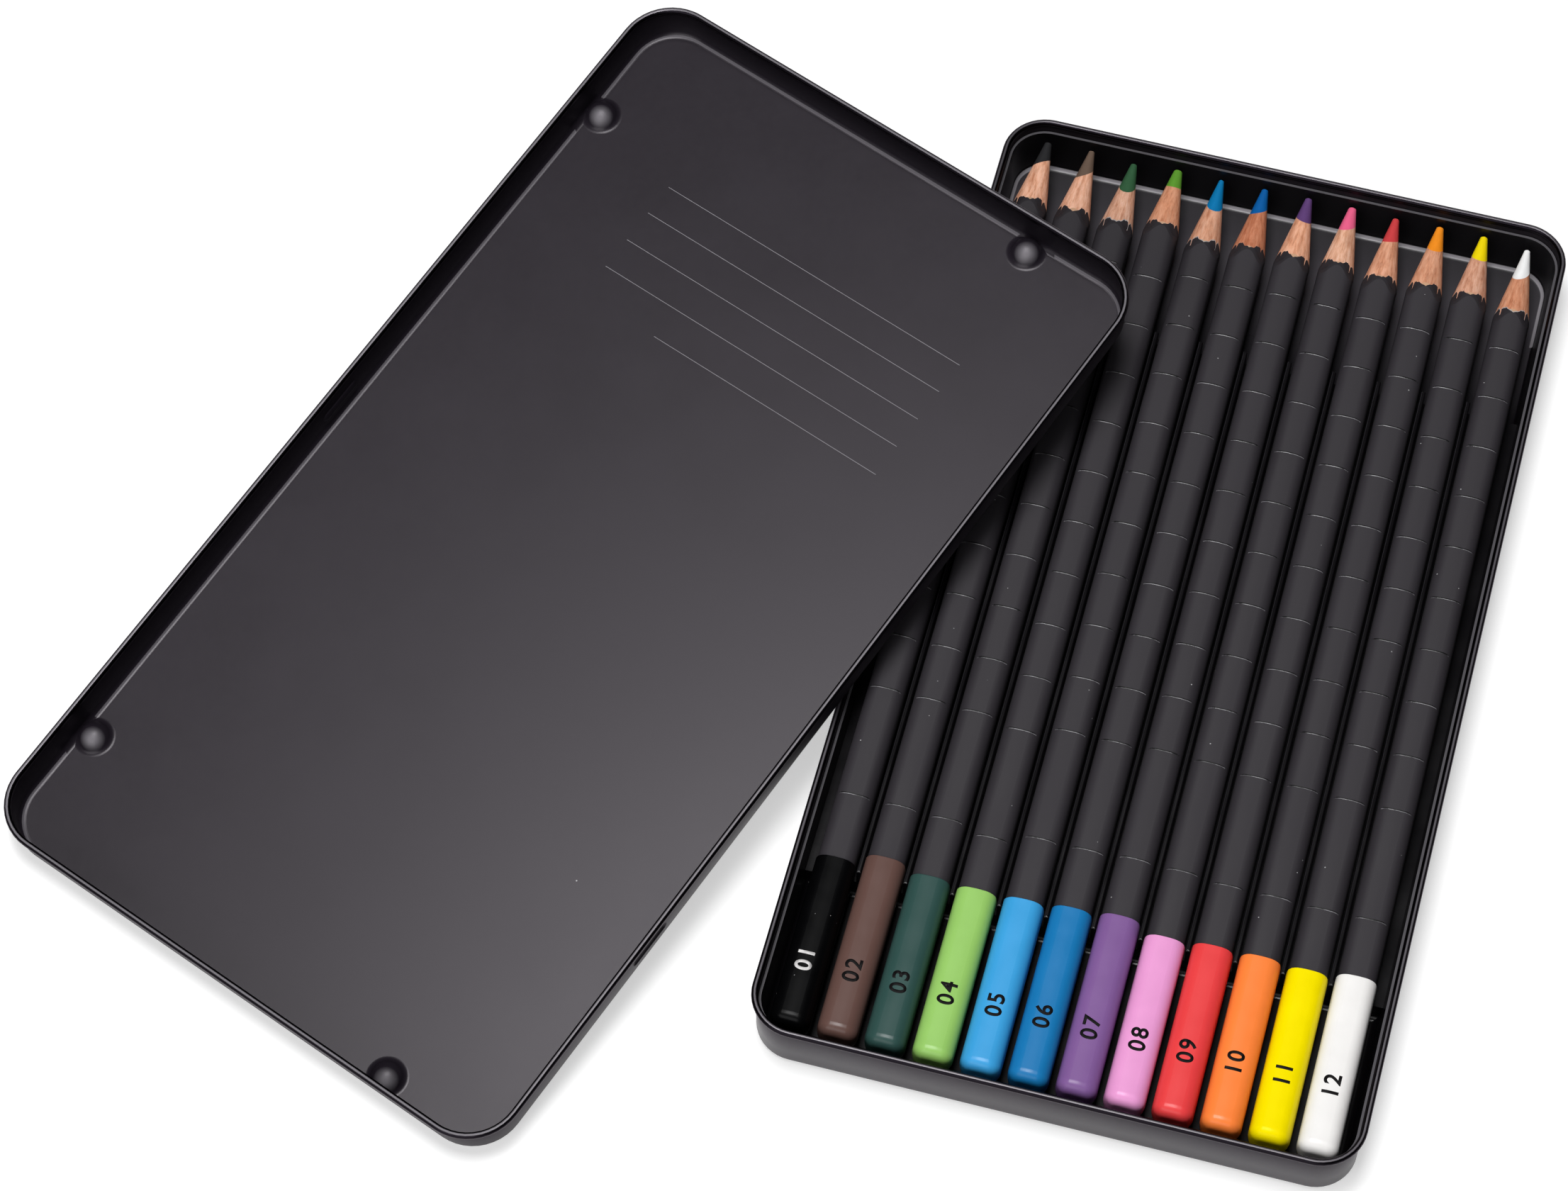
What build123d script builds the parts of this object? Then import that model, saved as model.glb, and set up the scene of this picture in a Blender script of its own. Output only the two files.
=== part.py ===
"""Watercolor pencil set in a flat tin: lid, tray, formed insert and twelve soft-square pencils.

Millimetres, +Z up. The origin is the middle of the tray's underside on the table, +X runs across the
pencils from the black one to the white one, and +Y runs along them towards their points.
"""
from build123d import *
import math
import os

# Tray, over its rolled rim
TRAY_WIDTH = 97.8
TRAY_LENGTH = 178.8
TRAY_HEIGHT = 11.75
TRAY_CORNER = 7.5

# Tinplate of the tray and the lid, with the rim rolled outwards
TIN = 0.3
RIM_DIAMETER = 1.1
RIM_OVERHANG = 0.75
FOOT_RADIUS = 1.4

# Lid, larger than the tray all round by the lid fit
LID_FIT = 1.7
LID_HEIGHT = 7.65
LID_WIDTH = TRAY_WIDTH + 2 * LID_FIT
LID_LENGTH = TRAY_LENGTH + 2 * LID_FIT
LID_CORNER = TRAY_CORNER + LID_FIT

# Where the open lid lies: how far the middle of its near edge is from the tray's left side and near end,
# how far it is turned in degrees, and the clearance between its underside and the tray's rim
LID_ASIDE = 79.8
LID_BEFORE = 11.4
LID_TURN = 21.2
LID_REST_GAP = 0.45

# Stops and snap dents pressed into the lid
STOP_RADIUS = 2.8
STOP_HEIGHT = 2.2
STOP_FOOT = 1.1
STOP_INSET = 3.7
SIDE_STOP_PLACE = 68.8
END_STOP_PLACE = 28.0
DENT_LENGTH = 7.0
DENT_RADIUS = 1.5
DENT_DEPTH = 0.4
DENT_HEIGHT = 3.4
LEFT_DENT_PLACE = 0.5
RIGHT_DENT_PLACE = -47.0

# Formed plastic insert: a tub in the tray with a raised grooved block across its middle
SHEET = 0.4
INSERT_FIT = 0.1
INSERT_DROP = 2.25
INSERT_DRAFT = 0.75
INSERT_FILLET = 1.0
CAP_POCKET = 30.45
POINT_POCKET = 33.85
SIDE_MARGIN = 1.522
GROOVE_FLOOR = 4.3
FIN_RISE = 0.2
FIN_WIDTH = 0.7
FIN_ROUND = 0.25

# Places that follow from the tray: the insert's top and the room inside it
INSERT_TOP = TRAY_HEIGHT - INSERT_DROP
INSERT_GAP = RIM_OVERHANG + TIN + INSERT_FIT
INSERT_WIDTH = TRAY_WIDTH - 2 * INSERT_GAP
INSERT_LENGTH = TRAY_LENGTH - 2 * INSERT_GAP
ROOM_END = INSERT_LENGTH / 2 - SHEET

# Pencils, each a soft square section with bowed faces that lies between two fins
PENCIL_COUNT = 12
BARREL_FIT = 0.369
SEAT_GAP = 0.3
PITCH = (INSERT_WIDTH - 2 * SHEET - 2 * SIDE_MARGIN) / PENCIL_COUNT
BARREL_HALF = (PITCH - FIN_WIDTH) / 2 - BARREL_FIT
AXIS_HEIGHT = GROOVE_FLOOR + SEAT_GAP + BARREL_HALF
FACE_RADIUS_SHARE = 2.9
CORNER_RADIUS_SHARE = 0.645
LEAD_RADIUS_SHARE = 0.435
SHARPENER_RADIUS_SHARE = 1.6
POINT_SLOPE_SHARE = 0.175
LACQUER = 0.15
TIP_GAP = 0.75
TIP_RADIUS = 0.6
TIP_ROUND = 0.12
CAP_LENGTH = 30.0
CAP_COAT = 0.2
CAP_LIP = 0.12
CAP_ROUND = 1.8
CAP_END_COAT = 1.6
CAP_END_GAP = 1.15

# How far a cutting rod runs past what it cuts
OVERRUN = 1.0

# Each pencil's shares of the cap length, tip gap and tip radius, how far its lead is off centre aside and
# upwards in shares of the lead's radius, and its roll in degrees
PENCILS = (
    (0.987, 1.40, 1.00, -0.12, 0.08, 0.0),
    (1.053, 1.00, 0.83, -0.14, 0.16, 1.5),
    (1.007, 2.07, 0.92, 0.00, 0.31, -1.0),
    (0.997, 1.27, 1.25, 0.00, 0.10, 1.0),
    (1.003, 1.13, 0.70, 0.04, 0.28, -2.0),
    (1.020, 1.13, 0.92, -0.10, 0.17, 0.0),
    (1.040, 1.00, 1.00, 0.04, 0.19, 1.5),
    (0.980, 1.00, 1.13, -0.08, 0.21, 2.0),
    (0.997, 1.27, 0.92, -0.04, 0.15, -1.5),
    (1.000, 1.00, 1.03, 0.00, 0.22, 1.0),
    (0.987, 1.00, 1.03, 0.02, 0.20, 0.0),
    (1.017, 1.93, 0.83, -0.09, 0.28, -1.0),
)

HALF = 0.5
DIAGONAL = math.sqrt(HALF)
STANDING = (Align.CENTER, Align.CENTER, Align.MIN)


def rounded_box(width, length, height, corner, base=0):
    """Upright block with round corners in plan, standing on the level base."""
    return Pos(0, 0, base) * extrude(RectangleRounded(width, length, corner), height)


def foot_edges(shape, level):
    """Edges of a shape that lie at one level."""
    return shape.edges().filter_by_position(Axis.Z, level, level)


def tin_shell(width, length, height, corner):
    """Pressed tin pan: level floor, upright walls and a rim rolled outwards."""
    wall_width, wall_length = width - 2 * RIM_OVERHANG, length - 2 * RIM_OVERHANG
    wall_corner = corner - RIM_OVERHANG
    rim_radius = RIM_DIAMETER * HALF
    rim_level = height - rim_radius
    outer = rounded_box(wall_width, wall_length, rim_level, wall_corner)
    outer = fillet(foot_edges(outer, 0), FOOT_RADIUS)
    inner = rounded_box(wall_width - 2 * TIN, wall_length - 2 * TIN, rim_level, wall_corner - TIN, TIN)
    inner = fillet(foot_edges(inner, TIN), FOOT_RADIUS - TIN)
    path_sketch = RectangleRounded(width - RIM_DIAMETER, length - RIM_DIAMETER, corner - rim_radius)
    path = Pos(0, 0, rim_level) * path_sketch.wire()
    section = Plane(origin=path @ 0, z_dir=path % 0) * Circle(rim_radius)
    return outer - inner + sweep(section, path=path)


def make_tray():
    """Shallow tin that holds the insert and the pencils."""
    return tin_shell(TRAY_WIDTH, TRAY_LENGTH, TRAY_HEIGHT, TRAY_CORNER)


def bell(crown_radius, foot_radius, foot_place, foot_level, base):
    """Dome about Z that runs out into the level around it through a hollow foot."""
    crown_level = STOP_HEIGHT + TIN - STOP_RADIUS
    reach, drop = foot_place, foot_level - crown_level
    share = crown_radius / (STOP_RADIUS + STOP_FOOT)
    join = (reach * share, crown_level + drop * share)
    lean = math.atan2(drop, reach)
    middle = (math.radians(90) + lean) * HALF
    crown = (crown_radius * math.cos(middle), crown_level + crown_radius * math.sin(middle))
    half_turn = (math.radians(-90) + lean - math.radians(180)) * HALF
    foot = (reach + foot_radius * math.cos(half_turn), foot_level + foot_radius * math.sin(half_turn))
    top = (0, crown_level + crown_radius)
    edge = (reach, foot_level - foot_radius)
    outline = [
        ThreePointArc(top, crown, join),
        ThreePointArc(join, foot, edge),
        Polyline(edge, (reach, base), (0, base), top),
    ]
    return revolve(Plane.XZ * make_face(outline), Axis.Z)


def stop(across, along):
    """Dome pressed up out of the lid near its edge, and the hollow that it leaves below."""
    centre = Pos(across, along, 0)
    foot_level = TIN + STOP_FOOT
    drop = foot_level - (STOP_HEIGHT + TIN - STOP_RADIUS)
    place = math.sqrt((STOP_RADIUS + STOP_FOOT) ** 2 - drop ** 2)
    bump = bell(STOP_RADIUS, STOP_FOOT, place, foot_level, 0)
    hollow = bell(STOP_RADIUS - TIN, STOP_FOOT + TIN, place, foot_level, -OVERRUN)
    return centre * bump, centre * hollow


def snap_dent(side, along):
    """Short lying ridge pressed inwards from a long wall, and the hollow that it leaves outside."""
    wall = LID_WIDTH * HALF - RIM_OVERHANG - TIN
    centre = Pos(side * (wall + DENT_RADIUS - DENT_DEPTH), along, DENT_HEIGHT)
    return tuple(centre * capsule(DENT_LENGTH, radius) for radius in (DENT_RADIUS, DENT_RADIUS - TIN))


def capsule(length, radius):
    """Rod along Y with round ends."""
    rod = Rot(90, 0, 0) * Cylinder(radius, length)
    ends = [Pos(0, side * length * HALF, 0) * Sphere(radius) for side in (-1, 1)]
    return rod + ends[0] + ends[1]


def make_lid():
    """Open lid in its own frame: underside on Z = 0, rim up."""
    shell = tin_shell(LID_WIDTH, LID_LENGTH, LID_HEIGHT, LID_CORNER)
    width, length = LID_WIDTH - 2 * RIM_OVERHANG, LID_LENGTH - 2 * RIM_OVERHANG
    room = rounded_box(width, length, LID_HEIGHT, LID_CORNER - RIM_OVERHANG)
    room = fillet(foot_edges(room, 0), FOOT_RADIUS)
    side, end = LID_WIDTH * HALF - STOP_INSET, LID_LENGTH * HALF - STOP_INSET
    pressed = [snap_dent(-1, LEFT_DENT_PLACE), snap_dent(1, RIGHT_DENT_PLACE)]
    for sign in (-1, 1):
        pressed.append(stop(-side, sign * SIDE_STOP_PLACE))
        pressed.append(stop(END_STOP_PLACE, sign * end))
    for bump, hollow in pressed:
        shell += bump & room
    for bump, hollow in pressed:
        shell -= hollow
    return shell


def lid_place():
    """Frame of the open lid: its near edge rests on the table and it leans up over the tray's rim."""
    turn = math.radians(LID_TURN)
    across = Vector(math.cos(turn), -math.sin(turn), 0)
    ahead = Vector(math.sin(turn), math.cos(turn), 0)
    foot = RIM_OVERHANG + FOOT_RADIUS
    rim = TRAY_WIDTH * HALF - RIM_DIAMETER * HALF
    near = Vector(-TRAY_WIDTH * HALF - LID_ASIDE, -TRAY_LENGTH * HALF - LID_BEFORE, 0)
    flat_edge = near + across * (LID_WIDTH * HALF - foot)
    run = (-rim - flat_edge.X) / ahead.X - foot
    lean = math.atan((TRAY_HEIGHT + LID_REST_GAP) / run)
    along = ahead * math.cos(lean) + Vector(0, 0, math.sin(lean))
    rise = FOOT_RADIUS * (1 - math.cos(lean)) - foot * math.sin(lean)
    origin = near + Vector(0, 0, rise) + along * (LID_LENGTH * HALF)
    return Location(Plane(origin=origin, x_dir=across, z_dir=across.cross(along)))


def tapered_tub(width, length, corner, base, top, foot):
    """Block that widens evenly from its base to the given size at its top."""
    height = top - base
    lean = INSERT_DRAFT / (INSERT_TOP - TIN)
    spread = lean * height
    low = RectangleRounded(width - 2 * spread, length - 2 * spread, corner - spread)
    tub = Pos(0, 0, base) * extrude(low, height, taper=-math.degrees(math.atan(lean)))
    return fillet(foot_edges(tub, base), foot)


def make_fin(x, near, far):
    """Thin upright rib between two pencils, rounded along its top."""
    base = GROOVE_FLOOR - SHEET
    height = AXIS_HEIGHT + FIN_RISE - base
    fin = Pos(x, (near + far) * HALF, base) * Box(FIN_WIDTH, far - near, height, align=STANDING)
    top = fin.faces().sort_by(Axis.Z)[-1]
    edges = top.edges().filter_by(Axis.Y) + top.edges().filter_by(Axis.X).sort_by(Axis.Y)[:1]
    return fillet(edges, FIN_ROUND)


def footed_block(width, near, far, floor):
    """Block across the insert whose two ends run out into the floor through a hollow foot."""
    foot = INSERT_FILLET
    low, knee = floor + foot, foot * (1 - DIAGONAL)
    outline = [
        Polyline((near, low), (near, GROOVE_FLOOR), (far, GROOVE_FLOOR), (far, low)),
        ThreePointArc((far, low), (far + knee, floor + knee), (far + foot, floor)),
        Polyline((far + foot, floor), (far + foot, TIN), (near - foot, TIN), (near - foot, floor)),
        ThreePointArc((near - foot, floor), (near - knee, floor + knee), (near, low)),
    ]
    return extrude(Plane.YZ * make_face(outline), width * HALF, both=True)


def make_insert():
    """Thermoformed insert: a tub with a raised grooved block and a pocket at each end of the pencils."""
    width, length, corner = INSERT_WIDTH, INSERT_LENGTH, TRAY_CORNER - INSERT_GAP
    outer = tapered_tub(width, length, corner, TIN, INSERT_TOP, INSERT_FILLET + SHEET)
    floor = TIN + SHEET
    inner = tapered_tub(width - 2 * SHEET, length - 2 * SHEET, corner - SHEET, floor, INSERT_TOP, INSERT_FILLET)
    near, far = CAP_POCKET - ROOM_END, ROOM_END - POINT_POCKET
    middle = (near + far) * HALF
    block = footed_block(width, near, far, floor)
    hollow_width = width - 2 * (INSERT_DRAFT + 2 * SHEET)
    hollow_length = far - near - 2 * SHEET
    hollow = Pos(0, middle, 0) * Box(hollow_width, hollow_length, GROOVE_FLOOR - SHEET, align=STANDING)
    insert = outer - inner + (block & outer) - hollow
    for index in range(1, PENCIL_COUNT):
        insert += make_fin((index - PENCIL_COUNT * HALF) * PITCH, near, far)
    return insert


def soft_square(half, corner, face):
    """Square section with bowed faces and round corners, in the XZ plane."""
    bow = face - half
    span = face - corner
    centre = (math.sqrt(2 * span ** 2 - bow ** 2) - bow) * HALF
    join_x = face * centre / span
    join_z = face * (centre + bow) / span - bow
    peak = centre + corner * DIAGONAL
    top = ((-join_x, join_z), (0, half), (join_x, join_z))
    side = ((join_x, join_z), (peak, peak), (join_z, join_x))
    edges = []
    for quarter in range(4):
        turn = math.radians(90 * quarter)
        c, s = math.cos(turn), math.sin(turn)
        for arc in (top, side):
            edges.append(Edge.make_three_point_arc(*[(x * c + z * s, 0, z * c - x * s) for x, z in arc]))
    return Face(Wire(edges))


def blank(grow, start, end):
    """Pencil section grown by a coat, run along Y between two places."""
    corner, face = BARREL_HALF * CORNER_RADIUS_SHARE, BARREL_HALF * FACE_RADIUS_SHARE
    section = soft_square(BARREL_HALF + grow, corner + grow, face + grow)
    return Pos(0, start, 0) * extrude(section, end - start, dir=(0, 1, 0))


def sharpened(start, tip, tip_radius):
    """What a sharpener leaves of a rod: it runs down to a blunt point."""
    radius = BARREL_HALF * SHARPENER_RADIUS_SHARE
    base = tip - (radius - tip_radius) / POINT_SLOPE_SHARE
    outline = Polyline((0, start), (radius, start), (radius, base), (tip_radius, tip), (0, tip), close=True)
    return revolve(make_face(outline), Axis.Y)


def make_pencil(cap_share, gap_share, tip_share, aside, rise):
    """The four pieces of one pencil about its own axis."""
    end, tip = CAP_END_GAP - ROOM_END, ROOM_END - TIP_GAP * gap_share
    start = end + CAP_END_COAT
    point = sharpened(start, tip, TIP_RADIUS * tip_share)
    lead_radius = BARREL_HALF * LEAD_RADIUS_SHARE
    middle, length = (start + tip) * HALF, tip - start + 2 * OVERRUN
    lead_place = Pos(lead_radius * aside, middle, lead_radius * rise)
    rod = lead_place * Rot(90, 0, 0) * Cylinder(lead_radius, length)
    lead = rod & point
    lead = fillet(lead.edges().sort_by(Axis.Y)[-1], TIP_ROUND)
    wood_blank = blank(-LACQUER, start, tip)
    full_blank = blank(0, start, tip)
    wood = (wood_blank & point) - rod
    lacquer = (full_blank & point) - wood_blank
    cap = blank(CAP_COAT, end, end + CAP_LENGTH * cap_share)
    cap = fillet(cap.faces().sort_by(Axis.Y)[0].edges(), CAP_ROUND)
    cap = fillet(cap.faces().sort_by(Axis.Y)[-1].edges(), CAP_LIP) - full_blank
    return {"wood": wood, "lacquer": lacquer, "cap": cap, "lead": lead}


def build():
    """All nodes by name, each in its place."""
    nodes = {"tray": make_tray(), "insert": make_insert(), "lid": lid_place() * make_lid()}
    for index, (*shares, roll) in enumerate(PENCILS):
        place = Pos((index + HALF - PENCIL_COUNT * HALF) * PITCH, 0, AXIS_HEIGHT) * Rot(0, roll, 0)
        for piece, shape in make_pencil(*shares).items():
            nodes[f"pencil_{index + 1:02}_{piece}"] = place * shape
    return nodes


if __name__ == "__main__":
    os.makedirs("parts", exist_ok=True)
    for name, shape in build().items():
        export_step(shape, f"parts/{name}.step")
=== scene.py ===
"""Looks of the watercolor pencil set: finishes, printed numerals and lines, floor, light and camera."""
from collections import namedtuple
import math

import bpy
from mathutils import Euler, Matrix, Vector


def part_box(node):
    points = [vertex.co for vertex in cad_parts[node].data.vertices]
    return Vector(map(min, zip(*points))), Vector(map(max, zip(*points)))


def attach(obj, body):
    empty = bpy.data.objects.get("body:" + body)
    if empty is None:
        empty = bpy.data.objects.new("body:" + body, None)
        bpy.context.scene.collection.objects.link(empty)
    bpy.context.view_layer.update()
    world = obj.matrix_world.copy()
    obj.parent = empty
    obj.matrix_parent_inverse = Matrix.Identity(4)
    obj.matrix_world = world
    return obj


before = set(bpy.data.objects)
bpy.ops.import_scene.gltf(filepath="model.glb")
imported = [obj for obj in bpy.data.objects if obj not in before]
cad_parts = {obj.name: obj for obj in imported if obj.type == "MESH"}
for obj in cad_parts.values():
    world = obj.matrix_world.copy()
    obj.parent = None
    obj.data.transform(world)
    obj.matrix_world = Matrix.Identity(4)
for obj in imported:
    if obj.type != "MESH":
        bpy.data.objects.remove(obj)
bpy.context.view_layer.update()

MM = 0.001
WHITE = (1.0, 1.0, 1.0, 1.0)
PENCIL_COUNT = 12
PENCIL_PITCH = 7.638 * MM

# The open lid's own frame: its middle, how far it is turned and leans, and its directions
LID_MIDDLE = Vector((-96.0236, -16.5553, 11.3261)) * MM
LID_TURN = math.radians(21.2)
LID_LEAN = math.radians(7.30805)
LID_ACROSS = Vector((math.cos(LID_TURN), -math.sin(LID_TURN), 0.0))
LID_AHEAD = Vector((math.sin(LID_TURN), math.cos(LID_TURN), 0.0))
LID_ALONG = LID_AHEAD * math.cos(LID_LEAN) + Vector((0.0, 0.0, math.sin(LID_LEAN)))
LID_UP = LID_ACROSS.cross(LID_ALONG)
LID_SHEET = 0.3 * MM

# The tin pans: a middle on the underside, the upward direction, the height, and the walls' depth of shade
Pan = namedtuple("Pan", "middle up height shade")
TRAY_PAN = Pan(Vector((0.0, 0.0, 0.0)), Vector((0.0, 0.0, 1.0)), 11.75 * MM, 7.6 * MM)
LID_PAN = Pan(LID_MIDDLE, LID_UP, 7.65 * MM, 7.0 * MM)
RIM_DEPTH = 1.12 * MM
FOOT_TOP = 1.3 * MM

# How much a surface faces upwards, from 0 on a wall to 1 on a floor
WALL_FACING = 0.55
FLOOR_FACING = 0.8
CREST_FACING = (0.9, 0.985)
FOOT_FACING = (0.78, 0.975)
FILLET_START_FACING = (0.5, 0.6)
FILLET_END_FACING = (0.92, 0.97)

# Stops pressed up inside the lid: their places across and along it
STOPS = [(across * MM, along * MM) for across, along in (
    (-46.9, 68.8), (-46.9, -68.8), (28.0, 87.4), (28.0, -87.4))]

# The painted highlight spot on the near side of each stop, how far the painted highlight line round the foot
# stays off, and a place off them all
STOP_HIGHLIGHT_PLACE = Vector((0.2, -1.4, 2.1)) * MM
STOP_HIGHLIGHT_INNER = 0.4 * MM
STOP_HIGHLIGHT_OUTER = 2.3 * MM
STOP_CLEAR = 5.0 * MM
FAR_OFF = 1.0

# Ruled lines inside the lid: place along it, and both ends across it
RULES = [(along * MM, low * MM, high * MM) for along, low, high in (
    (64.1, -29.2, 30.8), (58.25, -29.2, 30.8), (52.2, -29.1, 30.8),
    (46.2, -29.1, 30.8), (40.15, -14.5, 30.9))]
RULE_WIDTH = 0.11 * MM

# Pencil section: height of the axis, half the width over the flats, and the radii of faces and corners
AXIS_HEIGHT = 7.7 * MM
BARREL_HALF = 3.1 * MM
FACE_RADIUS = 8.99 * MM
CORNER_RADIUS = 2.0 * MM

# Cross lines pressed into the barrels, evenly apart with one place left blank, and each pencil's shift
TICK_FIRST = 64.5 * MM
TICK_SPACING = 10.0 * MM
TICK_COUNT = 12
TICK_BLANK = 10
TICK_PLACES = [TICK_FIRST - TICK_SPACING * tick for tick in range(TICK_COUNT) if tick != TICK_BLANK]
TICK_SHIFTS = [shift * MM for shift in (
    0.0, -0.1, -0.4, -1.8, 0.0, 0.0, 0.4, 0.2, -0.4, -0.4, -0.6, -0.45)]
TICK_LENGTH = 5.0 * MM
TICK_WIDTH = 0.3 * MM
TICK_STEPS = 14
TICK_ROWS = 4
TICK_RISE = 0.03 * MM
GROOVE_SHARE = 0.45

# Numerals on the caps
NUMERAL_HEIGHT = 2.6 * MM
NUMERAL_WEIGHT_SHARE = 0.022
NUMERAL_CAP_SHARE = 0.7
NUMERAL_SPACING_SHARE = 1.2
NUMERAL_PLACE = -75.6 * MM
NUMERAL_STRIPS = 10
FILM = 0.012 * MM

# Coat that the sharpener cut through, how far back it tore towards a corner, and which surfaces the cut is on
COAT_DEPTH = 0.15 * MM
SPILL_SHARE = 3.4
CORNER_SPILL_SHARES = [(0.0, 0.0), (0.25, 0.25), (0.5, 0.75), (0.7, 1.0), (0.9, 0.97), (1.0, 0.75)]
CUT_FACING = 0.1

# Primer below the coat, and how much of it shows, from the first pencil to the last
PRIMER_DEPTH = 0.035 * MM
PRIMER_SHARES = [(0.0, 0.1), (0.16, 1.0), (0.24, 0.2), (0.325, 0.9), (0.41, 0.1), (0.91, 0.9)]

# Top of the insert's wall, how far the painted highlight on its cut edge reaches down, and the top of the
# fillet round its floor
INSERT_TOP = 9.5 * MM
LIP_DEPTH = 0.08 * MM
FILLET_TOP = 1.9 * MM

# Painted highlight line along the left edge of each fin's top: inset from the fin's middle, half width, least
# height, ends
FIN_LINE_INSET = 0.26 * MM
FIN_LINE_HALF = 0.05 * MM
FIN_LINE_HEIGHT = 6.5 * MM
FIN_LINE_NEAR = -57.4 * MM
FIN_LINE_FAR = 54.0 * MM

# Where the painted light on the insert's floor begins, is full, thins out again and is least, along the
# pencils
FAR_FLOOR_LIGHT_START = 54.0 * MM
FAR_FLOOR_LIGHT_FULL = 72.0 * MM
FAR_FLOOR_LIGHT_THIN = 77.0 * MM
FAR_FLOOR_LIGHT_END = 85.5 * MM
FAR_FLOOR_LIGHT_LEAST_SHARE = 0.38

# Gloss paint of the caps and pigment of the leads, from the black pencil to the white one
CAP_PAINTS = ("#040405", "#604741", "#2f4d49", "#95c767", "#3c9fdb", "#1976b2",
              "#7f5a95", "#e89bd1", "#e74244", "#fc843c", "#f6e100", "#f0eeec")
LEAD_PIGMENTS = ("#2b2b2d", "#6f5c4f", "#356040", "#629f32", "#037bb6", "#0460a9",
                 "#63437b", "#f46690", "#d44346", "#ff9720", "#ffe400", "#ffffff")

# Caps that differ: the black one shines less, both have hardly any clear coat, and the yellow gleam is warm
BLACK_CAP = 0
YELLOW_CAP = 10
YELLOW_GLEAM = (1.0, 0.97, 0.1, 1.0)

# How each pencil's wood differs from the palest
WOOD_TINTS = ((1.05, 0.98, 1.05), (1.01, 0.96, 1.05), (0.85, 0.83, 0.93), (0.81, 0.64, 0.6),
              (0.81, 0.71, 0.73), (0.66, 0.43, 0.37), (0.93, 0.81, 0.82), (0.91, 0.88, 0.95),
              (0.88, 0.75, 0.76), (0.8, 0.66, 0.64), (0.8, 0.73, 0.79), (0.76, 0.59, 0.55))

# Other colours that aren't paints off a chart
TIN_GLEAM = (1.0, 0.95, 1.0, 1.0)
DUST_SPECK = (0.35, 0.35, 0.36, 1.0)
PRIMER = (0.42, 0.40, 0.40, 1.0)
STAINED_WOOD = (0.62, 0.36, 0.22, 1.0)
DARK_BAND = (0.50, 0.20, 0.09, 1.0)
PALE_FIBRE = (1.0, 0.75, 0.54, 1.0)
WOOD_GRAIN = [(0.34, (0.60, 0.27, 0.14)), (0.5, (0.88, 0.48, 0.285)), (0.66, (1.0, 0.63, 0.42))]
# Painted shade in a pressed line's groove, and the dark and painted-highlight greys of its raised lip
GROOVE_SHADE = (0.004, 0.004, 0.004, 1.0)
LIP_DARK = (0.025, 0.024, 0.026, 1.0)
LIP_HIGHLIGHT = (0.19, 0.185, 0.2, 1.0)

# The middle part of a noise pattern, which holds nearly all of its values
NOISE_SPAN = (0.3, 0.7)

# Floor: its size and gap below the part, its grey, and how its glow grows away from the part
FLOOR_SIZE = 8.0
FLOOR_GAP = 0.05 * MM
FLOOR_GREY = (0.62, 0.62, 0.62, 1.0)
GLOW_START, GLOW_FULL = 0.4, 1.4
GLOW_LEAST = 0.5
WORLD_STRENGTH = 0.02

# Lamps: name, place, place aimed at, width and length in metres, and watts
LAMPS = (("overhead", (-0.15, -0.03, 1.25), (-0.15, -0.03, 0.0), (0.4, 0.5), 13.5),
         ("front_fill", (-0.35, -1.45, 0.8), (0.0, 0.0, 0.0), (1.5, 1.5), 17.5))

# Camera: its place in metres, its turns in degrees, its lens and sensor in millimetres, and the frame's shift
CAMERA_PLACE = (0.04082, -0.39347, 0.69909)
CAMERA_TURNS = (28.84272, -0.30808, 14.83052)
CAMERA_LENS = 111.86
CAMERA_SENSOR = 36.0
CAMERA_SHIFT = (-0.02375, 0.05112)
CAMERA_REACH = (0.05, 20.0)


def paint_colour(code):
    """Linear colour from a paint chart's six-digit code."""
    shares = [int(code[i:i + 2], 16) / 255 for i in (1, 3, 5)]
    return tuple(s / 12.92 if s <= 0.04045 else ((s + 0.055) / 1.055) ** 2.4 for s in shares) + (1.0,)


class Graph:
    """The nodes of a material or a world, and short ways to add to them."""

    def __init__(self, tree):
        self.nodes = tree.nodes
        self.links = tree.links

    def add(self, kind, **values):
        node = self.nodes.new(kind)
        for key, value in values.items():
            setattr(node, key, value)
        return node

    def put(self, value, socket):
        if hasattr(value, "is_linked"):
            self.links.new(value, socket)
        else:
            socket.default_value = value

    def math(self, operation, first, second=0.0):
        node = self.add("ShaderNodeMath", operation=operation)
        self.put(first, node.inputs[0])
        self.put(second, node.inputs[1])
        return node.outputs[0]

    def all_of(self, first, *others):
        """Product of masks, which is full only where every one of them is."""
        for other in others:
            first = self.math("MULTIPLY", first, other)
        return first

    def outside(self, mask):
        return self.math("SUBTRACT", 1.0, mask)

    def between(self, value, low, high):
        return self.all_of(self.math("GREATER_THAN", value, low), self.math("LESS_THAN", value, high))

    def fade(self, value, start, end, low=0.0, high=1.0):
        """Go from low to high while the value goes from start to end."""
        node = self.add("ShaderNodeMapRange")
        for name, number in (("From Min", start), ("From Max", end), ("To Min", low), ("To Max", high)):
            node.inputs[name].default_value = number
        self.put(value, node.inputs["Value"])
        return node.outputs["Result"]


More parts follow.
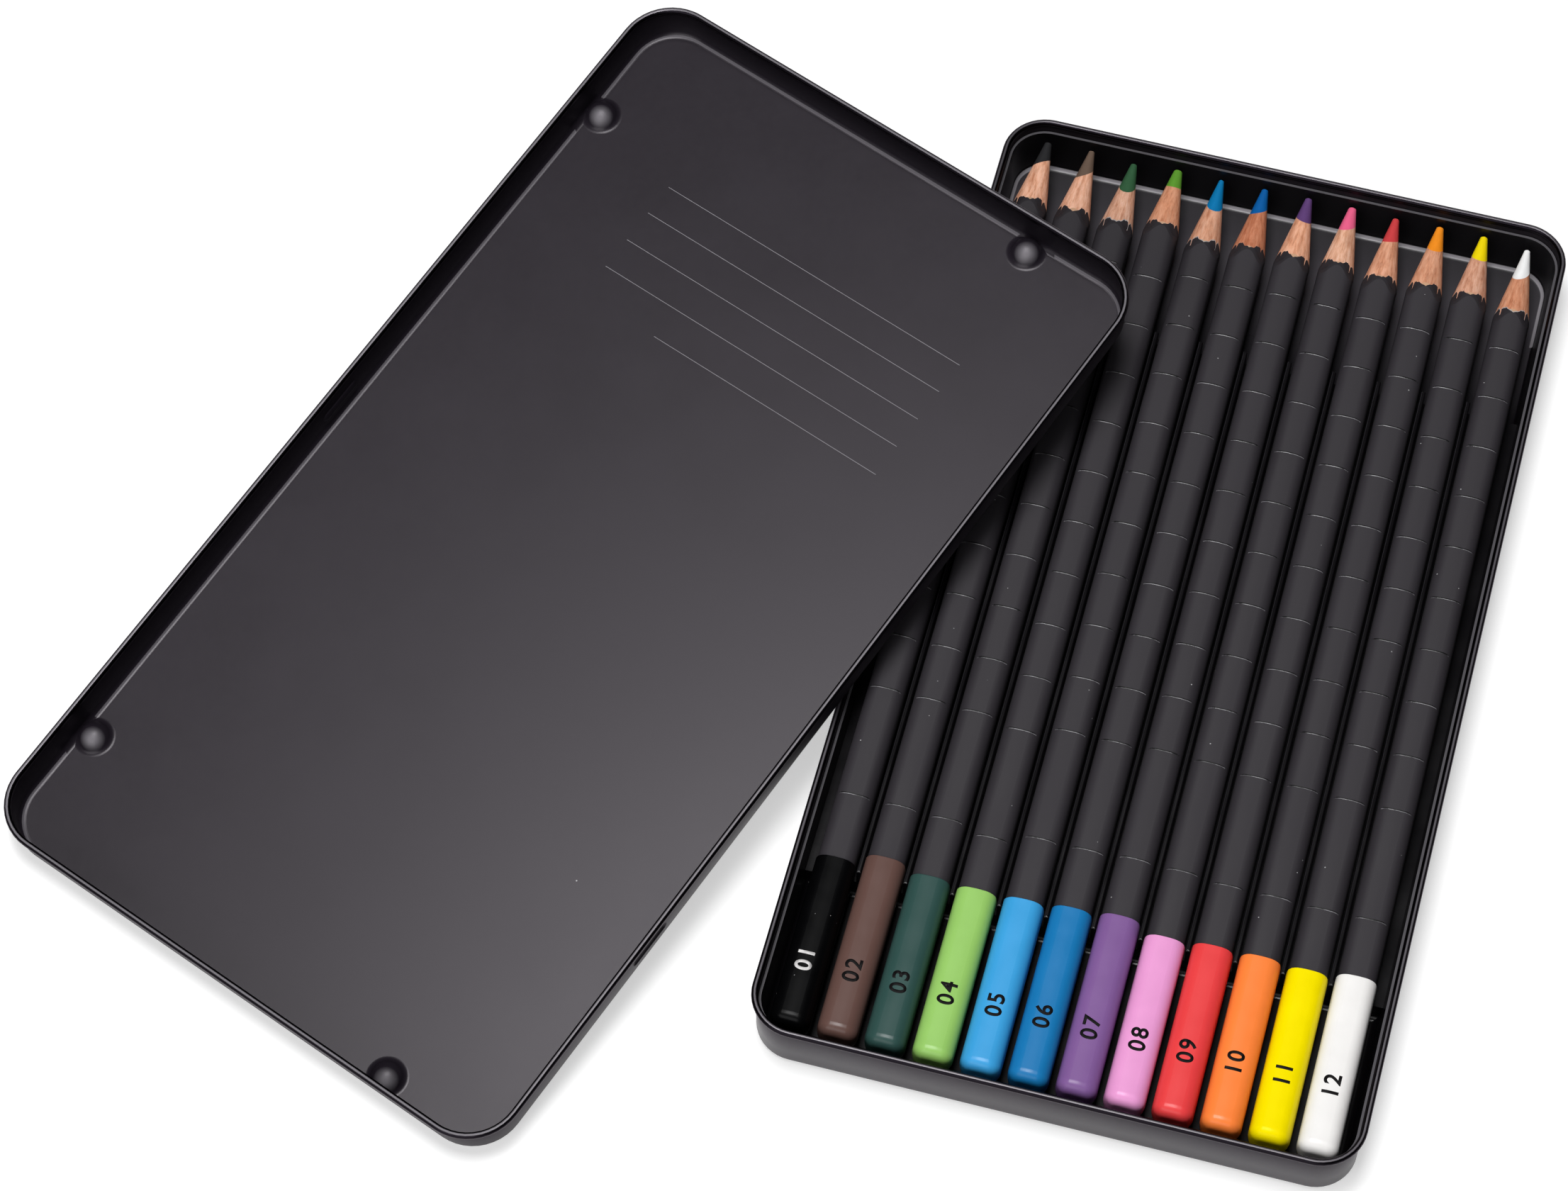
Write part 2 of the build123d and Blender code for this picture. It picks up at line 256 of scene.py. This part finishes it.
class Finish(Graph):
    """A material with its shader, laid out in the object's own coordinates."""

    def __init__(self, name, roughness, specular):
        self.material = bpy.data.materials.new(name)
        self.material.use_nodes = True
        super().__init__(self.material.node_tree)
        self.shader = self.nodes["Principled BSDF"]
        self.shader.inputs["Roughness"].default_value = roughness
        self.shader.inputs["Specular IOR Level"].default_value = specular
        self.place = self.add("ShaderNodeTexCoord").outputs["Object"]

    def normal(self):
        return self.add("ShaderNodeNewGeometry").outputs["Normal"]

    def axes(self, vector):
        split = self.add("ShaderNodeSeparateXYZ")
        self.put(vector, split.inputs[0])
        return split.outputs

    def stretched(self, stretch):
        node = self.add("ShaderNodeMapping")
        node.inputs["Scale"].default_value = stretch
        self.put(self.place, node.inputs["Vector"])
        return node.outputs["Vector"]

    def noise(self, scale, detail=2.0, rough=0.5, stretch=None):
        """Cloudy pattern of so many waves per metre; a stretch below 1 draws it out along that axis."""
        node = self.add("ShaderNodeTexNoise")
        self.put(self.place if stretch is None else self.stretched(stretch), node.inputs["Vector"])
        node.inputs["Scale"].default_value = scale
        node.inputs["Detail"].default_value = detail
        node.inputs["Roughness"].default_value = rough
        return node.outputs["Fac"]

    def uneven(self, noise, low, high):
        return self.fade(noise, *NOISE_SPAN, low, high)

    def cells(self, scale, output="Distance"):
        node = self.add("ShaderNodeTexVoronoi")
        self.put(self.place, node.inputs["Vector"])
        node.inputs["Scale"].default_value = scale
        return node.outputs[output]

    def ramp(self, value, stops, interpolation="LINEAR"):
        node = self.add("ShaderNodeValToRGB")
        node.color_ramp.interpolation = interpolation
        elements = node.color_ramp.elements
        while len(elements) < len(stops):
            elements.new(1.0)
        for element, (position, colour) in zip(elements, stops):
            element.position = position
            element.color = (*colour, 1.0)
        self.put(value, node.inputs["Fac"])
        return node.outputs["Color"]

    def share_ramp(self, value, shares, interpolation="LINEAR"):
        return self.ramp(value, [(position, (share,) * 3) for position, share in shares], interpolation)

    def mix(self, share, first, second, blend="MIX"):
        node = self.add("ShaderNodeMix", data_type="RGBA", blend_type=blend)
        self.put(share, node.inputs["Factor"])
        self.put(first, node.inputs[6])
        self.put(second, node.inputs[7])
        return node.outputs[2]

    def colour(self, value):
        self.put(value, self.shader.inputs["Base Color"])

    def metal(self, value):
        self.put(value, self.shader.inputs["Metallic"])

    def roughness(self, value):
        self.put(value, self.shader.inputs["Roughness"])

    def bump(self, height, distance, strength):
        node = self.add("ShaderNodeBump")
        node.inputs["Strength"].default_value = strength
        node.inputs["Distance"].default_value = distance
        self.put(height, node.inputs["Height"])
        self.links.new(node.outputs["Normal"], self.shader.inputs["Normal"])

    def dust(self, colour, scale, radius, share):
        """Sparse pale specks of dust over a colour."""
        near = self.math("LESS_THAN", self.cells(scale), radius)
        some = self.math("GREATER_THAN", self.cells(scale, "Color"), 1.0 - share)
        return self.mix(self.all_of(near, some), colour, DUST_SPECK)

    def above(self, middle, up):
        """Height above a pan's underside, and how much the surface faces that pan's upward direction."""
        step = self.add("ShaderNodeVectorMath", operation="SUBTRACT")
        self.put(self.place, step.inputs[0])
        step.inputs[1].default_value = middle
        heights = []
        for way in (step.outputs["Vector"], self.normal()):
            part = self.add("ShaderNodeVectorMath", operation="DOT_PRODUCT")
            self.put(way, part.inputs[0])
            part.inputs[1].default_value = up
            heights.append(part.outputs["Value"])
        return heights

    def nearest_stop(self, stops):
        """Distance to the nearest painted highlight spot on a stop of the lid."""
        nearest = FAR_OFF
        for across, along in stops:
            gap = self.add("ShaderNodeVectorMath", operation="DISTANCE")
            self.put(self.place, gap.inputs[0])
            gap.inputs[1].default_value = LID_MIDDLE + LID_ACROSS * across + LID_ALONG * along + STOP_HIGHLIGHT_PLACE
            nearest = self.math("MINIMUM", nearest, gap.outputs["Value"])
        return nearest

    def across_pencils(self):
        """Place aside and upwards from the axis of the pencil that is nearest, and that pencil's index."""
        place = self.axes(self.place)
        left = self.math("ADD", place[0], PENCIL_COUNT / 2 * PENCIL_PITCH)
        index = self.math("FLOOR", self.math("DIVIDE", left, PENCIL_PITCH))
        aside = self.math("SUBTRACT", self.math("FLOORED_MODULO", left, PENCIL_PITCH), PENCIL_PITCH / 2)
        return aside, self.math("SUBTRACT", place[2], AXIS_HEIGHT), index

    def reach(self, first, second):
        squares = self.math("ADD", self.math("POWER", first, 2.0), self.math("POWER", second, 2.0))
        return self.math("SQRT", squares)

    def coat_depth(self):
        """Depth below the skin of the soft square section, nearness to a corner, and the pencil's index."""
        aside, rise, index = self.across_pencils()
        aside, rise = self.math("ABSOLUTE", aside), self.math("ABSOLUTE", rise)
        nearness = self.math("DIVIDE", self.math("MINIMUM", aside, rise), self.math("MAXIMUM", aside, rise))
        far_centre = FACE_RADIUS - BARREL_HALF
        gap = FACE_RADIUS - CORNER_RADIUS
        near_centre = (math.sqrt(2 * gap * gap - far_centre * far_centre) - far_centre) / 2
        slope = near_centre / (near_centre + far_centre)
        aside_far, rise_far = self.math("ADD", aside, far_centre), self.math("ADD", rise, far_centre)
        top = self.math("SUBTRACT", FACE_RADIUS, self.reach(aside, rise_far))
        side = self.math("SUBTRACT", FACE_RADIUS, self.reach(aside_far, rise))
        corner = self.math("SUBTRACT", CORNER_RADIUS, self.reach(
            self.math("SUBTRACT", aside, near_centre), self.math("SUBTRACT", rise, near_centre)))
        past_top = self.math("GREATER_THAN", aside, self.math("MULTIPLY", rise_far, slope))
        past_side = self.math("GREATER_THAN", rise, self.math("MULTIPLY", aside_far, slope))
        flat = self.math("MINIMUM", top, side)
        in_corner = self.all_of(past_top, past_side)
        depth = self.math("ADD", flat, self.math("MULTIPLY", in_corner, self.math("SUBTRACT", corner, flat)))
        return depth, nearness, index


def satin_tin(name, base, roughness, specular, crest_highlight, pan, stops=()):
    """Satin black coat on pressed tin, with a fine orange-peel, a rolled rim made blacker with painted shade
    and a painted highlight along its crest, and painted shade on the walls below the rim."""
    tin = Finish(name, roughness, specular)
    tin.shader.inputs["Specular Tint"].default_value = TIN_GLEAM
    cloud = tin.noise(scale=60.0, detail=4.0, rough=0.6)
    speckle = tin.noise(scale=900.0, detail=3.0, rough=0.6)
    level, facing = tin.above(pan.middle, pan.up)
    tone = tin.mix(cloud, paint_colour(base), paint_colour("#1f1b22"))
    tone = tin.dust(tone, scale=160.0, radius=0.02, share=0.12)
    satin = tin.math("ADD", tin.uneven(cloud, roughness - 0.012, roughness + 0.014),
                     tin.uneven(speckle, -0.012, 0.012))

    rim_foot = pan.height - RIM_DEPTH
    # Painted shade: the rolled rim is made blacker and bare dark metal, all but a painted highlight along its
    # crest
    bead = tin.math("GREATER_THAN", level, rim_foot)
    crest = tin.all_of(bead, tin.fade(facing, *CREST_FACING))
    tone = tin.mix(bead, tone, paint_colour("#1b181d"))
    tone = tin.mix(crest, tone, paint_colour(crest_highlight))
    # Painted shade on the walls below the rim, darker towards the rim
    shade = tin.all_of(tin.math("LESS_THAN", facing, WALL_FACING),
                       tin.fade(level, pan.height - pan.shade, rim_foot, high=0.78), tin.outside(bead))
    satin = tin.math("ADD", satin, tin.math("MULTIPLY", shade, 0.3))
    tin.metal(tin.math("MAXIMUM", shade, tin.all_of(bead, tin.outside(crest))))
    if stops:
        tone, satin = stop_and_foot_highlights(tin, tone, satin, level, facing, stops)
    tin.colour(tone)
    tin.roughness(satin)
    tin.bump(tin.noise(scale=2600.0), 0.01 * MM, 0.25)
    return tin.material


def stop_and_foot_highlights(tin, tone, satin, level, facing, stops):
    """A painted highlight spot on each stop, made a little rougher, and a painted highlight line round the
    foot of the walls that stays off the stops.
    """
    nearest = tin.nearest_stop(stops)
    # Painted highlight: a pale spot on the near side of each stop
    stop_highlight = tin.fade(nearest, STOP_HIGHLIGHT_INNER, STOP_HIGHLIGHT_OUTER, 1.0, 0.0)
    # Painted highlight: a pale line round the foot of the walls
    foot_highlight = tin.all_of(tin.math("LESS_THAN", level, FOOT_TOP), tin.between(facing, *FOOT_FACING),
                      tin.math("GREATER_THAN", nearest, STOP_CLEAR))
    tone = tin.mix(stop_highlight, tone, paint_colour("#6d6a6f"))
    tone = tin.mix(foot_highlight, tone, paint_colour("#58555a"))
    return tone, tin.math("ADD", satin, tin.math("MULTIPLY", stop_highlight, 0.14))


def formed_plastic():
    """Glossy black sheet of the insert, with painted light on its floor where the points lie, and painted
    highlights on that floor's fillet, along the fins and on the cut top edge.
    """
    sheet = Finish("formed_plastic", roughness=0.22, specular=0.3)
    along, height = sheet.axes(sheet.place)[1:]
    facing = sheet.axes(sheet.normal())[2]
    cloud = sheet.noise(scale=90.0, detail=3.0)
    tone = sheet.mix(cloud, paint_colour("#080709"), paint_colour("#0e0c0f"))
    tone = sheet.dust(tone, scale=140.0, radius=0.025, share=0.15)

    # Painted light: the floor beyond the block is painted lighter, less so near the far wall
    beyond = sheet.fade(along, FAR_FLOOR_LIGHT_START, FAR_FLOOR_LIGHT_FULL)
    far_floor_light = sheet.all_of(sheet.math("GREATER_THAN", facing, FLOOR_FACING), beyond,
                         sheet.fade(along, FAR_FLOOR_LIGHT_THIN, FAR_FLOOR_LIGHT_END, 1.0, FAR_FLOOR_LIGHT_LEAST_SHARE))
    tone = sheet.mix(far_floor_light, tone, paint_colour("#3e3b40"))
    # Painted highlight on the fillet round the far floor
    fillet_highlight = sheet.all_of(sheet.fade(facing, *FILLET_START_FACING),
                          sheet.fade(facing, *FILLET_END_FACING, 1.0, 0.0),
                          sheet.math("LESS_THAN", height, FILLET_TOP),
                          sheet.math("GREATER_THAN", along, FAR_FLOOR_LIGHT_FULL))
    tone = sheet.mix(fillet_highlight, tone, paint_colour("#88858a"))

    # Painted highlight line along the left edge of each fin's top
    off_line = sheet.math("SUBTRACT", sheet.across_pencils()[0], PENCIL_PITCH / 2 - FIN_LINE_INSET)
    fin_highlight = sheet.all_of(sheet.math("LESS_THAN", sheet.math("ABSOLUTE", off_line), FIN_LINE_HALF),
                            sheet.math("GREATER_THAN", height, FIN_LINE_HEIGHT),
                            sheet.between(along, FIN_LINE_NEAR, FIN_LINE_FAR))
    tone = sheet.mix(fin_highlight, tone, paint_colour("#2e2c30"))
    # Painted highlight along the insert's cut top edge
    lip_highlight = sheet.math("GREATER_THAN", height, INSERT_TOP - LIP_DEPTH)
    sheet.colour(sheet.mix(lip_highlight, tone, paint_colour("#514f53")))
    sheet.roughness(sheet.math("ADD", sheet.uneven(cloud, 0.2, 0.3), sheet.math("MULTIPLY", beyond, 0.12)))
    sheet.bump(sheet.noise(scale=420.0), 0.03 * MM, 0.3)
    return sheet.material


def torn_edge(finish, coat_colour, wood_colour):
    """Paint that a sharpener tore back unevenly, with a pale line of primer on some pencils."""
    depth, nearness, index = finish.coat_depth()
    waves = finish.noise(scale=430.0, detail=0.7, stretch=(1.0, 0.05, 1.0))
    spill = finish.math("MULTIPLY", finish.share_ramp(nearness, CORNER_SPILL_SHARES), SPILL_SHARE)
    share = finish.math("ADD", finish.fade(waves, 0.35, 0.65, high=0.6), spill)
    edge = finish.math("MULTIPLY", share, COAT_DEPTH)
    which = finish.math("DIVIDE", index, float(PENCIL_COUNT))
    primed = finish.all_of(finish.math("LESS_THAN", depth, finish.math("ADD", edge, PRIMER_DEPTH)),
                           finish.share_ramp(which, PRIMER_SHARES, "CONSTANT"))
    bared = finish.mix(primed, wood_colour, PRIMER)
    return finish.mix(finish.math("LESS_THAN", depth, edge), bared, coat_colour)


def matte_lacquer():
    """Soft matte coat of the barrels."""
    coat = Finish("matte_lacquer", roughness=0.62, specular=0.35)
    cloud = coat.noise(scale=140.0, detail=4.0, rough=0.6, stretch=(1.0, 0.35, 1.0))
    skin = coat.mix(cloud, paint_colour("#29262a"), paint_colour("#312e33"))
    skin = coat.dust(skin, scale=420.0, radius=0.045, share=0.35)
    cut = coat.math("GREATER_THAN", coat.axes(coat.normal())[1], CUT_FACING)
    coat.colour(coat.mix(cut, skin, torn_edge(coat, paint_colour("#2b282c"), STAINED_WOOD)))
    coat.roughness(coat.uneven(cloud, 0.55, 0.7))
    coat.bump(coat.noise(scale=3200.0, detail=3.0), 0.01 * MM, 0.35)
    return coat.material


def cedar():
    """Cut cedar with its grain along the pencil."""
    wood = Finish("cut_cedar", roughness=0.6, specular=0.3)
    grain = wood.noise(scale=1700.0, detail=5.0, rough=0.7, stretch=(1.0, 0.05, 1.0))
    bands = wood.noise(scale=1000.0, stretch=(1.0, 0.04, 1.0))
    fibre = wood.noise(scale=2600.0, detail=3.0, rough=0.6, stretch=(1.0, 0.12, 1.0))
    tone = wood.ramp(grain, WOOD_GRAIN)
    tone = wood.mix(wood.fade(bands, 0.5, 0.72, high=0.6), tone, DARK_BAND)
    tone = wood.mix(wood.fade(fibre, 0.45, 0.7, high=0.3), tone, PALE_FIBRE)
    index = wood.across_pencils()[2]
    tints = [(max(0.0, number - 0.2) / PENCIL_COUNT, tint) for number, tint in enumerate(WOOD_TINTS)]
    tint = wood.ramp(wood.math("DIVIDE", index, float(PENCIL_COUNT)), tints, "CONSTANT")
    tone = wood.mix(1.0, tone, tint, "MULTIPLY")
    wood.colour(torn_edge(wood, paint_colour("#2b282c"), tone))
    wood.bump(fibre, 0.08 * MM, 0.5)
    return wood.material


def gloss_cap(index, code):
    """Dipped gloss paint of one cap."""
    paint = Finish(f"gloss_cap_{index + 1:02}", roughness=0.32, specular=0.08 if index == BLACK_CAP else 0.2)
    paint.shader.inputs["Coat Weight"].default_value = 0.03 if index in (BLACK_CAP, YELLOW_CAP) else 0.1
    paint.shader.inputs["Coat Roughness"].default_value = 0.16
    paint.shader.inputs["Specular Tint"].default_value = YELLOW_GLEAM if index == YELLOW_CAP else WHITE
    base = Vector(paint_colour(code)[:3])
    cloud = paint.noise(scale=260.0, detail=3.0)
    tone = paint.mix(cloud, (*(base * 0.94), 1.0), (*(base * 1.04), 1.0))
    paint.colour(paint.dust(tone, scale=700.0, radius=0.05, share=0.6) if index == BLACK_CAP else tone)
    paint.roughness(paint.uneven(cloud, 0.3, 0.4))
    paint.bump(paint.noise(scale=600.0), 0.02 * MM, 0.08)
    return paint.material


def pigment_lead(index, code):
    """Pressed pigment of one lead, with fine streaks where the sharpener cut it."""
    lead = Finish(f"pigment_lead_{index + 1:02}", roughness=0.55, specular=0.3)
    base = Vector(paint_colour(code)[:3])
    streak = lead.noise(scale=1500.0, detail=3.0, rough=0.6, stretch=(1.0, 0.2, 1.0))
    lead.colour(lead.mix(streak, (*(base * 0.82), 1.0), (*(base * 1.08), 1.0)))
    lead.bump(streak, 0.06 * MM, 0.5)
    return lead.material


def pressed_line():
    """Line pressed into the lacquer: painted shade in the groove, and a raised near edge with a painted
    highlight broken up by noise.
    """
    line = Finish("pressed_line", roughness=0.35, specular=0.5)
    across = line.axes(line.add("ShaderNodeUVMap").outputs["UV"])[1]
    # Painted highlight on the raised lip, broken up by noise, beside painted shade in the groove
    lip_highlight_share = line.fade(line.noise(scale=420.0, detail=3.0, rough=0.7), 0.42, 0.62)
    lip_highlight = line.mix(lip_highlight_share, LIP_DARK, LIP_HIGHLIGHT)
    line.colour(line.mix(line.math("LESS_THAN", across, GROOVE_SHARE), GROOVE_SHADE, lip_highlight))
    return line.material


def printed_ink(name, code, wear_code):
    """Thin ink of a numeral or a ruled line, a little uneven."""
    ink = Finish(name, roughness=0.6, specular=0.1)
    blotch = ink.noise(scale=1400.0, detail=3.0, rough=0.6)
    ink.colour(ink.mix(blotch, paint_colour(code), paint_colour(wear_code)))
    return ink.material


def dress(node, material):
    """Give a CAD node its finish."""
    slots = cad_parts[node].data.materials
    slots.clear()
    slots.append(material)


def dress_nodes():
    dress("tray", satin_tin("tray_coat", "#1e1a20", 0.36, 0.7, "#4c494e", TRAY_PAN))
    dress("lid", satin_tin("lid_coat", "#1b171d", 0.34, 0.305, "#6a676c", LID_PAN, STOPS))
    dress("insert", formed_plastic())
    lacquer, wood = matte_lacquer(), cedar()
    for index in range(PENCIL_COUNT):
        pencil = f"pencil_{index + 1:02}"
        dress(f"{pencil}_wood", wood)
        dress(f"{pencil}_lacquer", lacquer)
        dress(f"{pencil}_cap", gloss_cap(index, CAP_PAINTS[index]))
        dress(f"{pencil}_lead", pigment_lead(index, LEAD_PIGMENTS[index]))


def edit(select=True):
    """Open the piece in hand for editing, with all of it selected."""
    bpy.ops.object.mode_set(mode="EDIT")
    if select:
        bpy.ops.mesh.select_all(action="SELECT")


def close():
    bpy.ops.object.mode_set(mode="OBJECT")
    return bpy.context.object


def move(place):
    bpy.ops.transform.translate(value=place)


def scale(size):
    bpy.ops.transform.resize(value=size, center_override=(0, 0, 0))


def fresh():
    bpy.ops.object.select_all(action="DESELECT")


def wrap(piece, node, thickness):
    """Lay a flat piece down onto a CAD node as a film of one thickness."""
    fit = piece.modifiers.new("fit", "SHRINKWRAP")
    fit.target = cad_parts[node]
    fit.wrap_method = "PROJECT"
    fit.use_project_z = True
    fit.use_negative_direction = True
    fit.offset = thickness
    bpy.ops.object.modifier_apply(modifier="fit")


def thicken(piece, thickness):
    film = piece.modifiers.new("film", "SOLIDIFY")
    film.thickness = thickness
    film.offset = -1.0
    bpy.ops.object.modifier_apply(modifier="film")


def add_piece(piece, name, body, material):
    piece.name = name
    piece.data.materials.clear()
    piece.data.materials.append(material)
    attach(piece, body)


def press_lines(index, material):
    """The cross lines of one barrel, each a strip with a raised near lip that follows the bowed face."""
    pencil = f"pencil_{index + 1:02}"
    low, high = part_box(f"{pencil}_lacquer")
    middle = (low[0] + high[0]) / 2
    fresh()
    bpy.ops.mesh.primitive_grid_add(x_subdivisions=TICK_STEPS, y_subdivisions=TICK_ROWS, size=1.0)
    per_line = len(bpy.context.object.data.vertices)
    edit()
    scale((TICK_LENGTH, TICK_WIDTH, 1.0))
    move((middle, TICK_PLACES[0] + TICK_SHIFTS[index], high[2] + MM))
    for before, place in zip(TICK_PLACES, TICK_PLACES[1:]):
        bpy.ops.mesh.duplicate()
        move((0, place - before, 0))
    piece = close()
    wrap(piece, f"{pencil}_lacquer", FILM)
    edit(select=False)
    bpy.ops.mesh.select_all(action="DESELECT")
    close()
    for vertex in piece.data.vertices:
        vertex.select = (vertex.index % per_line) // (TICK_STEPS + 1) == 1
    edit(select=False)
    move((0, 0, TICK_RISE))
    close()
    thicken(piece, FILM)
    add_piece(piece, f"{pencil}_lines", pencil, material)


def print_numeral(index, material):
    """Plain number on one cap, read along the pencil."""
    pencil = f"pencil_{index + 1:02}"
    low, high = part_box(f"{pencil}_cap")
    fresh()
    bpy.ops.object.text_add()
    words = bpy.context.object
    words.data.body = f"{index + 1:02}"
    words.data.size = NUMERAL_HEIGHT / NUMERAL_CAP_SHARE
    words.data.offset = words.data.size * NUMERAL_WEIGHT_SHARE
    words.data.space_character = NUMERAL_SPACING_SHARE
    words.data.align_x = "CENTER"
    words.data.align_y = "CENTER"
    bpy.ops.object.convert(target="MESH")
    piece = bpy.context.object
    edit()
    for step in range(NUMERAL_STRIPS + 1):
        bpy.ops.mesh.select_all(action="SELECT")
        height = (step / NUMERAL_STRIPS - 0.5) * NUMERAL_HEIGHT
        bpy.ops.mesh.bisect(plane_co=(0, height, 0), plane_no=(0, 1, 0))
    bpy.ops.mesh.select_all(action="SELECT")
    bpy.ops.transform.rotate(value=math.radians(-90), orient_axis="Z", center_override=(0, 0, 0))
    move(((low[0] + high[0]) / 2, NUMERAL_PLACE, high[2] + MM))
    close()
    wrap(piece, f"{pencil}_cap", FILM)
    thicken(piece, FILM)
    add_piece(piece, f"{pencil}_numeral", pencil, material)


def rule_lid(material):
    """Ruled lines printed on the lid's inner face."""
    turn = Matrix((LID_ACROSS, LID_ALONG, LID_UP)).transposed().to_4x4()
    for number, (along, low, high) in enumerate(RULES):
        fresh()
        bpy.ops.mesh.primitive_cube_add(size=1.0)
        edit()
        scale((high - low, RULE_WIDTH, FILM))
        move(((low + high) / 2, along, LID_SHEET + FILM / 2))
        bpy.ops.mesh.bevel(offset=FILM / 3, segments=1)
        piece = close()
        piece.matrix_world = Matrix.Translation(LID_MIDDLE) @ turn
        bpy.ops.object.transform_apply(location=True, rotation=True, scale=True)
        add_piece(piece, f"lid_rule_{number + 1}", "lid", material)


def add_details():
    line = pressed_line()
    dark = printed_ink("dark_ink", "#0c0b0c", "#1d1b1c")
    pale = printed_ink("pale_ink", "#e8e6e6", "#bdbaba")
    for index in range(PENCIL_COUNT):
        press_lines(index, line)
        print_numeral(index, pale if index == BLACK_CAP else dark)
    rule_lid(printed_ink("rule_ink", "#8d8b90", "#6d6b70"))


def lay_floor():
    """Pale floor, white to the camera and in reflections, brighter far off, and clear from below."""
    fresh()
    bpy.ops.mesh.primitive_plane_add(size=FLOOR_SIZE, location=(0, 0, -FLOOR_GAP))
    floor = bpy.context.object
    floor.name = "floor"
    material = bpy.data.materials.new("pale_floor")
    material.use_nodes = True
    board = Graph(material.node_tree)
    board.nodes.clear()

    rays = board.add("ShaderNodeLightPath").outputs
    seen = board.math("MAXIMUM", rays["Is Glossy Ray"], rays["Is Transmission Ray"])
    seen = board.math("MAXIMUM", rays["Is Camera Ray"], seen)
    away = board.add("ShaderNodeVectorMath", operation="LENGTH")
    board.put(board.add("ShaderNodeTexCoord").outputs["Object"], away.inputs[0])
    strength = board.fade(away.outputs["Value"], GLOW_START, GLOW_FULL, low=GLOW_LEAST)

    matte = board.add("ShaderNodeBsdfDiffuse")
    matte.inputs["Color"].default_value = FLOOR_GREY
    glow = board.add("ShaderNodeEmission")
    board.put(board.all_of(seen, strength), glow.inputs["Strength"])
    both = board.add("ShaderNodeAddShader")
    board.put(matte.outputs[0], both.inputs[0])
    board.put(glow.outputs[0], both.inputs[1])
    sides = board.add("ShaderNodeMixShader")
    board.put(board.add("ShaderNodeNewGeometry").outputs["Backfacing"], sides.inputs[0])
    board.put(both.outputs[0], sides.inputs[1])
    board.put(board.add("ShaderNodeBsdfTransparent").outputs[0], sides.inputs[2])
    board.put(sides.outputs[0], board.add("ShaderNodeOutputMaterial").inputs["Surface"])
    floor.data.materials.append(material)


def light_room():
    """Soft world light that is white to the camera, and the lamps."""
    world = bpy.data.worlds.new("studio")
    bpy.context.scene.world = world
    world.use_nodes = True
    studio = Graph(world.node_tree)
    backdrop = studio.nodes["Background"]
    backdrop.inputs["Color"].default_value = WHITE
    seen = studio.add("ShaderNodeLightPath").outputs["Is Camera Ray"]
    studio.put(studio.fade(seen, 0.0, 1.0, low=WORLD_STRENGTH), backdrop.inputs["Strength"])
    for lamp in LAMPS:
        hang_lamp(*lamp)


def hang_lamp(name, place, target, size, watts):
    """Flat rectangular lamp, aimed at its target."""
    lamp = bpy.data.lights.new(name, "AREA")
    lamp.shape = "RECTANGLE"
    lamp.size, lamp.size_y = size
    lamp.energy = watts
    holder = bpy.data.objects.new(name, lamp)
    bpy.context.scene.collection.objects.link(holder)
    aim = (Vector(target) - Vector(place)).to_track_quat("-Z", "Y")
    holder.matrix_world = Matrix.Translation(place) @ aim.to_matrix().to_4x4()


def set_camera():
    """Camera where the photograph was taken from."""
    lens = bpy.data.cameras.new("camera")
    lens.sensor_width = CAMERA_SENSOR
    lens.lens = CAMERA_LENS
    lens.shift_x, lens.shift_y = CAMERA_SHIFT
    lens.clip_start, lens.clip_end = CAMERA_REACH
    camera = bpy.data.objects.new("camera", lens)
    bpy.context.scene.collection.objects.link(camera)
    turn = Euler([math.radians(degrees) for degrees in CAMERA_TURNS]).to_matrix().to_4x4()
    camera.matrix_world = Matrix.Translation(CAMERA_PLACE) @ turn
    bpy.context.scene.camera = camera


dress_nodes()
add_details()
lay_floor()
light_room()
set_camera()
bpy.context.scene.view_settings.view_transform = "Standard"
